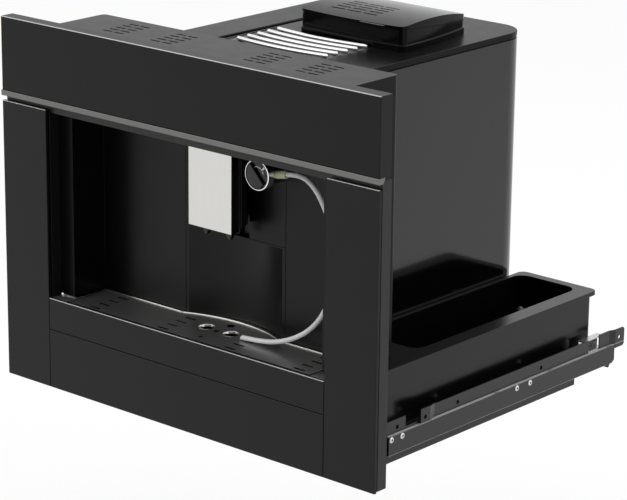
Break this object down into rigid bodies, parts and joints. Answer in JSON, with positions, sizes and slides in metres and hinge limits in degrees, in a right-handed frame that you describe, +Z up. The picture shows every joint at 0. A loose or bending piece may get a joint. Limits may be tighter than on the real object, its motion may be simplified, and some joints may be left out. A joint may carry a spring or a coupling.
{
  "type": "built in coffee machine",
  "caption": "Built-in coffee machine with a black glass front, open cup niche, milk hose, body, bean hopper, side water tank and telescopic rails.",
  "frame": {"origin": "middle of the front's bottom edge, in the plane of the front glass", "axes": "+X to the right seen from the front, +Y into the cabinet (the front faces -Y), +Z up"},
  "size_m": [0.5962, 0.507, 0.4672],
  "materials": {
    "anodised_front": "dark anodised strip with a bright edge",
    "front_glass": "black glass with ground edges, backed in black",
    "control_glass": "black glass panel, bare",
    "circuit_board": "circuit board laminate with components",
    "black_frame_steel": "black powder coat",
    "black_duct_steel": "black powder coat, fine texture",
    "niche_plastic": "black moulding, fine satin texture",
    "spout_steel": "upright brushing",
    "gloss_black": "high-gloss black moulding",
    "outlet_black": "black moulding",
    "chrome_trim": "bright chrome",
    "connector_silicone": "pale translucent silicone",
    "hose_silicone": "translucent silicone",
    "grid_steel": "black steel grid with a bright pressed rim",
    "tray_plastic": "black moulding",
    "body_lid_black": "semi-gloss black moulding",
    "warmer_steel": "black enamelled plate",
    "hopper_black": "gloss black moulding",
    "seal_silicone": "black silicone",
    "tank_plastic": "satin black moulding",
    "strainer_plastic": "white moulding",
    "grinder_plastic": "dark moulding",
    "burr_steel": "hardened steel",
    "motor_steel": "zinc-plated can",
    "zinc_steel": "zinc-plated sheet",
    "heater_aluminium": "cast aluminium",
    "brew_plastic": "grey food-safe moulding",
    "spindle_steel": "turned steel",
    "inlet_plastic": "black moulding with three pins",
    "slide_steel": "zinc-plated telescopic rail",
    "bracket_steel": "black powder-coated sheet steel",
    "bumper_rubber": "black rubber"
  },
  "bodies": {
    "cabinet_rails": {"rail_bracket_right": "bracket_steel", "rail_bracket_left": "bracket_steel", "outer_rails": "slide_steel", "rail_screws": "zinc_steel", "rail_bumpers": "bumper_rubber"},
    "rail_middles": {"middle_rails": "slide_steel"},
    "machine": {"frame_stile_right": "black_frame_steel", "frame_stile_left": "black_frame_steel", "frame_top_rail": "black_frame_steel", "frame_bottom_rail": "black_frame_steel", "pillar_panel_right": "front_glass", "pillar_panel_left": "front_glass", "lower_front_panel": "front_glass", "trim_strip": "anodised_front", "control_panel": "control_glass", "control_board": "circuit_board", "vent_plate": "black_duct_steel", "duct_sides": "black_duct_steel", "niche_wall_left": "niche_plastic", "niche_wall_right": "niche_plastic", "niche_ceiling": "niche_plastic", "column_fascia": "niche_plastic", "cup_recess": "niche_plastic", "frother_body": "outlet_black", "milk_connector": "connector_silicone", "milk_hose": "hose_silicone", "body_shell": "gloss_black", "body_lid": "body_lid_black", "cup_warmer_tray": "warmer_steel", "cup_warmer_bars": "chrome_trim", "bean_hopper": "hopper_black", "grinder_housing": "grinder_plastic", "burr_ring": "burr_steel", "grinder_motor": "motor_steel", "chassis_frame": "zinc_steel", "brew_frame": "grinder_plastic", "brew_motor": "motor_steel", "boiler": "heater_aluminium", "water_pump": "motor_steel", "power_board": "circuit_board", "power_inlet": "inlet_plastic", "base_pan": "black_frame_steel", "inner_rails": "slide_steel"},
    "drip_drawer": {"tray_front": "front_glass", "drip_tray": "tray_plastic", "drip_grid": "grid_steel"},
    "grounds_box": {"grounds_container": "tray_plastic"},
    "spout": {"spout_housing": "gloss_black", "spout_face": "spout_steel", "coffee_nozzles": "outlet_black"},
    "dial": {"dial_ring": "chrome_trim", "frother_dial": "gloss_black"},
    "bean_lid": {"hopper_lid": "hopper_black", "hopper_lid_seal": "seal_silicone"},
    "tank": {"water_tank": "tank_plastic", "tank_strainer": "strainer_plastic"},
    "door": {"service_door": "gloss_black"},
    "burr": {"burr_cone": "burr_steel"},
    "spindle": {"brew_spindle": "spindle_steel"},
    "piston": {"brew_piston": "brew_plastic"}
  },
  "joints": [
    {"name": "machine_pull_out", "type": "slide", "parent": "cabinet_rails", "child": "machine", "axis": [0, -1, 0], "range_m": [0, 0.32]},
    {"name": "middle_rail_slide", "type": "slide", "parent": "cabinet_rails", "child": "rail_middles", "axis": [0, -1, 0], "range_m": [0, 0.16]},
    {"name": "drip_drawer_slide", "type": "slide", "parent": "machine", "child": "drip_drawer", "axis": [0, -1, 0], "range_m": [0, 0.2]},
    {"name": "grounds_lift", "type": "slide", "parent": "drip_drawer", "child": "grounds_box", "axis": [0, 0, 1], "range_m": [0, 0.02]},
    {"name": "spout_height", "type": "slide", "parent": "machine", "child": "spout", "axis": [0, 0, -1], "range_m": [0, 0.065]},
    {"name": "dial_turn", "type": "hinge", "parent": "machine", "child": "dial", "pos_m": [0.0865, 0.046, 0.3215], "axis": [0, -1, 0], "range_deg": [-110, 0]},
    {"name": "bean_lid_lift", "type": "slide", "parent": "machine", "child": "bean_lid", "axis": [0, 0, 1], "range_m": [0, 0.03]},
    {"name": "tank_slide", "type": "slide", "parent": "machine", "child": "tank", "axis": [0, 1, 0], "range_m": [0, 0.085]},
    {"name": "service_door_hinge", "type": "hinge", "parent": "machine", "child": "door", "pos_m": [-0.143, 0.323, 0.208], "axis": [0, 0, -1], "range_deg": [0, 90]},
    {"name": "burr_spin", "type": "hinge", "parent": "machine", "child": "burr", "pos_m": [0.039, 0.323, 0.34], "axis": [0, 0, 1], "continuous": true},
    {"name": "brew_piston_slide", "type": "slide", "parent": "machine", "child": "piston", "axis": [0, 0, 1], "range_m": [0, 0.04]},
    {"name": "brew_spindle_turn", "type": "hinge", "parent": "machine", "child": "spindle", "pos_m": [0.043, 0.15, 0.2], "axis": [0, 0, 1], "range_deg": [0, 720]}
  ],
  "couplings": [
    {"joint": "middle_rail_slide", "follows": "machine_pull_out", "ratio": 0.5},
    {"joint": "brew_spindle_turn", "follows": "brew_piston_slide", "rad_per_m": 314.16}
  ]
}
